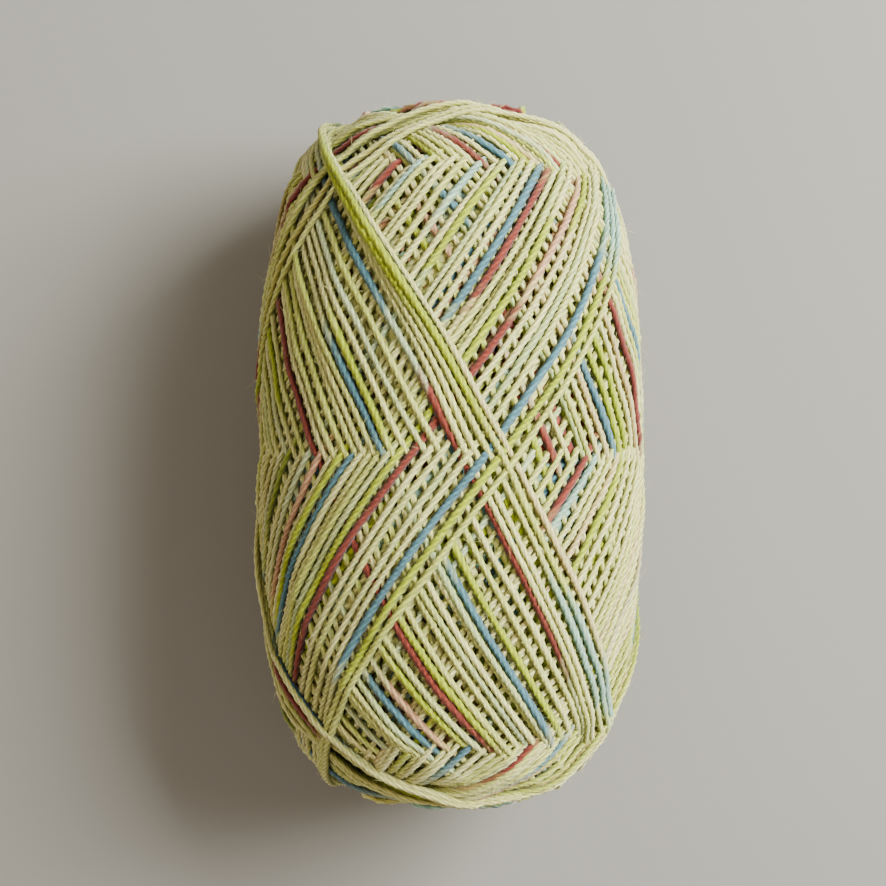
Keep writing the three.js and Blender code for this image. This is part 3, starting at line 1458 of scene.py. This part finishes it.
@dataclass
class Skein:
    """The whole skein: the laid yarn in stretches, over the yarn inside.

    Args:
        outer: the form that the finished skein fills.
        axis_height: height of its axis over the table.
        yarn: the yarn's sizes.
    """

    outer: WoundForm
    axis_height: float
    yarn: Yarn = field(default_factory=Yarn)

    OUTER_PIECES = 4
    INNER_PIECES = 3

    @staticmethod
    def runs(first: int, last: int, pieces: int) -> list[tuple[int, int]]:
        """Split passes first to last into runs, each as the first number and the one after its last."""
        splits = np.linspace(first, last, pieces + 1).round().astype(int).tolist()
        return list(zip(splits[:-1], splits[1:]))

    def build(self) -> list[bpy.types.Object]:
        """Wind the yarn, make its meshes and dress them.

        Returns:
            The pieces.
        """
        winding = Winding(self.outer, self.yarn)
        winding.wind()
        seat = Seat(self.outer, self.axis_height)
        dyeing = Dyeing(winding)
        fine = StrandMesh(winding, seat, dyeing)
        # The inner strands get a lighter painted shade down their flanks.
        plain = StrandMesh(
            winding, seat, dyeing, sides=5, ring_step=2.1, groove=0.0, wide=1.45, high=1.0, dim=0.25
        )
        count = len(winding.passes)
        outermost = count - (len(winding.CHART) * winding.PASSES_A_REPEAT - 2)
        pieces = []
        for i, (first, last) in enumerate(self.runs(outermost, count, self.OUTER_PIECES)):
            pieces.append(fine.build(f"outer_turns_{i + 1}", first, last))
        for i, (first, last) in enumerate(self.runs(0, outermost, self.INNER_PIECES)):
            pieces.append(plain.build(f"inner_turns_{i + 1}", first, last))
        pieces.append(FuzzMesh(winding, seat, dyeing).build(outermost, count))
        wool = PliedWool().make()
        for piece in pieces:
            piece.data.materials.append(wool)
        core = CoreMesh(winding, seat).build()
        core.data.materials.append(DeepWool().make())
        pieces.append(core)
        return pieces


@dataclass(frozen=True)
class SoftLight:
    """A square light.

    Args:
        name: the light's name.
        place: its centre in metres.
        size: its side in metres.
        power: in watts.
        hue: its colour.
    """

    name: str
    place: tuple[float, float, float]
    size: float
    power: float
    hue: str

    def add(self, height: float) -> None:
        """Add the light to the scene, facing a point over the origin.

        Args:
            height: of that point in metres.
        """
        data = bpy.data.lights.new(self.name, "AREA")
        data.size = self.size
        data.energy = self.power
        data.color = linear(self.hue)[:3]
        lamp = bpy.data.objects.new(self.name, data)
        lamp.location = self.place
        away = np.array(self.place) - np.array([0.0, 0.0, height])
        flat = math.hypot(away[0], away[1])
        lamp.rotation_euler = (math.atan2(flat, away[2]), 0.0, math.atan2(away[0], -away[1]))
        bpy.context.collection.objects.link(lamp)


@dataclass
class Studio:
    """The pale floor, the soft light and the camera that looks straight down.

    Args:
        axis_height: height of the skein's axis in millimetres.
        pixel: millimetres to a pixel at that height.
        distance: from the axis up to the camera.
        image: side of the picture in pixels.
        centre: the pixel that the middle of the skein falls on.
        sensor: side of the camera's sensor.
        floor_half: half the floor's side.
        room_hue: colour of the light from all round.
        room_light: its strength.
    """

    axis_height: float
    pixel: float = 0.1714
    distance: float = 380.0
    image: int = 886
    centre: tuple[float, float] = (450.0, 455.0)
    sensor: float = 36.0
    floor_half: float = 1500.0
    room_hue: str = "#F6EDDC"
    room_light: float = 0.55

    LIGHTS = (
        SoftLight("window", (0.47, 0.23, 0.45), 0.42, 17.5, "#FBFFF6"),
        SoftLight("fill", (-0.5, -0.3, 0.6), 0.8, 1.2, "#FFDDB0"),
    )

    def floor(self) -> bpy.types.Object:
        """Build the floor, a plain pale sheet, painted and nearly matt.

        Returns:
            The floor.
        """
        half = self.floor_half
        corners = np.array([[-half, -half, 0], [half, -half, 0], [half, half, 0], [-half, half, 0]])
        floor = add_mesh("floor", corners.astype(float), np.array([[0, 1, 2, 3]]), smooth=False)
        material = bpy.data.materials.new("pale_floor")
        material.use_nodes = True
        surface = material.node_tree.nodes["Principled BSDF"]
        surface.inputs["Base Color"].default_value = linear("#8A8783")
        surface.inputs["Roughness"].default_value = 0.8
        floor.data.materials.append(material)
        return floor

    def camera(self) -> None:
        """Place the camera so that one millimetre at the axis is as large as in the photograph."""
        data = bpy.data.cameras.new("camera")
        data.sensor_width = self.sensor
        data.lens = self.sensor * self.distance / (self.image * self.pixel)
        camera = bpy.data.objects.new("camera", data)
        camera.location = (
            (self.image / 2 - self.centre[0]) * self.pixel * MM,
            (self.centre[1] - self.image / 2) * self.pixel * MM,
            (self.axis_height + self.distance) * MM,
        )
        bpy.context.collection.objects.link(camera)
        bpy.context.scene.camera = camera

    def build(self) -> None:
        """Build the floor, the camera and the lights."""
        self.floor()
        self.camera()
        for light in self.LIGHTS:
            light.add(self.axis_height * MM)
        world = bpy.data.worlds.new("room")
        world.use_nodes = True
        background = world.node_tree.nodes["Background"]
        background.inputs["Color"].default_value = linear(self.room_hue)
        background.inputs["Strength"].default_value = self.room_light
        bpy.context.scene.world = world


def main() -> None:
    """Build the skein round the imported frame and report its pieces."""
    logging.basicConfig(level=logging.INFO, format="%(name)s: %(message)s")
    low, high = (np.array(corner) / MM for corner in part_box(NODE))
    radius_z = (high[2] - low[2] + PRESSED) / 2
    outer = WoundForm(
        half_length=(high[1] - low[1]) / 2 + RIM_DROP,
        radius_x=(high[0] - low[0]) / 2,
        radius_z=radius_z,
    )
    axis_height = high[2] - radius_z
    Studio(axis_height).build()
    pieces = Skein(outer, axis_height).build()
    for piece in pieces:
        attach(piece, "root")
        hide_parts(NODE)
        triangles = len(piece.data.loops) - 2 * len(piece.data.polygons)
        LOG.info("%s: %d triangles", piece.name, triangles)


if __name__ == "__main__":
    main()
